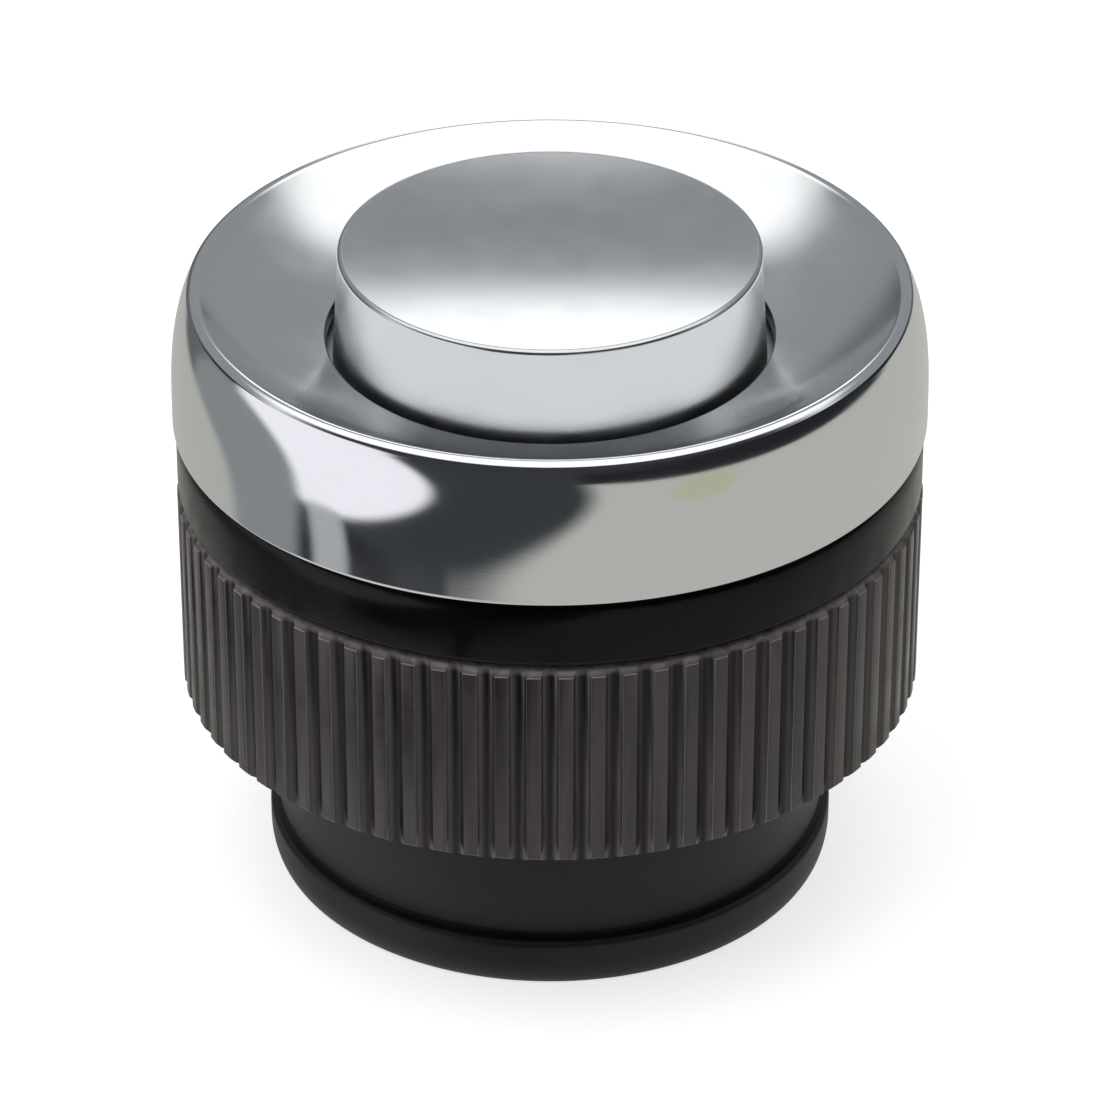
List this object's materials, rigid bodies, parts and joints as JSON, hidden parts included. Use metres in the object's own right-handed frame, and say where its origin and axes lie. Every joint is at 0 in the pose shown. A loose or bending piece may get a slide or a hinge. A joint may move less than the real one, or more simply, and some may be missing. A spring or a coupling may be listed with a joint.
{
  "type": "doorbell button",
  "caption": "Round panel-mounted bell push: dished metal button in a polished bezel, black flange, fluted clamping nut and rubber rear boot.",
  "frame": {"origin": "centre of the rear boot's flat underside, which the bell push stands on", "axes": "+Z along the axis towards the finger; +X towards the right-hand terminal, -Y towards the viewer of the picture"},
  "size_m": [0.037, 0.037, 0.0336],
  "materials": {
    "bezel_metal": "polished, bright",
    "cap_metal": "fine satin, turned",
    "housing_plastic": "glossy black, moulded",
    "nut_plastic": "satin brown-black, moulded and fluted",
    "boot_rubber": "matt bluish black",
    "seal_rubber": "matt black",
    "washer_fibre": "matt black, punched",
    "plunger_acetal": "natural white, moulded",
    "base_plastic": "dark brown, moulded",
    "contact_brass": "stamped, bright",
    "contact_silver": "silver rivets, bright",
    "spring_steel": "drawn wire, bright",
    "screw_steel": "zinc plated"
  },
  "bodies": {
    "housing": {"bezel_ring": "bezel_metal", "housing": "housing_plastic", "rear_boot": "boot_rubber", "bezel_oring": "seal_rubber", "lip_gasket": "seal_rubber", "contact_base": "base_plastic", "fixed_contact_left": "contact_brass", "fixed_contact_right": "contact_brass", "contact_tip_left": "contact_silver", "contact_tip_right": "contact_silver", "return_spring": "spring_steel", "base_screws": "screw_steel", "terminal_screw_left": "screw_steel", "terminal_screw_right": "screw_steel", "clamp_washer_left": "screw_steel", "clamp_washer_right": "screw_steel"},
    "button": {"button_cap": "cap_metal", "plunger": "plunger_acetal", "cap_snap_ring": "spring_steel", "bridge_spring": "spring_steel", "bridge_clip": "spring_steel", "contact_bridge": "contact_brass", "bridge_tip_left": "contact_silver", "bridge_tip_right": "contact_silver"},
    "nut_washer": {"thrust_washer": "washer_fibre"},
    "nut": {"knurled_nut": "nut_plastic"}
  },
  "joints": [
    {"name": "button_press", "type": "slide", "parent": "housing", "child": "button", "axis": [0, 0, -1], "range_m": [0, 0.0016], "stiffness_N_per_m": 900, "springref_m": -0.002, "deforming": ["return_spring"]},
    {"name": "nut_travel", "type": "slide", "parent": "housing", "child": "nut_washer", "axis": [0, 0, -1], "range_m": [0, 0.008]},
    {"name": "nut_turn", "type": "hinge", "parent": "nut_washer", "child": "nut", "pos_m": [0, 0, 0.0156], "axis": [0, 0, -1], "range_deg": [0, 1921]}
  ],
  "couplings": [
    {"joint": "nut_turn", "follows": "nut_travel", "rad_per_m": 4188.8}
  ]
}
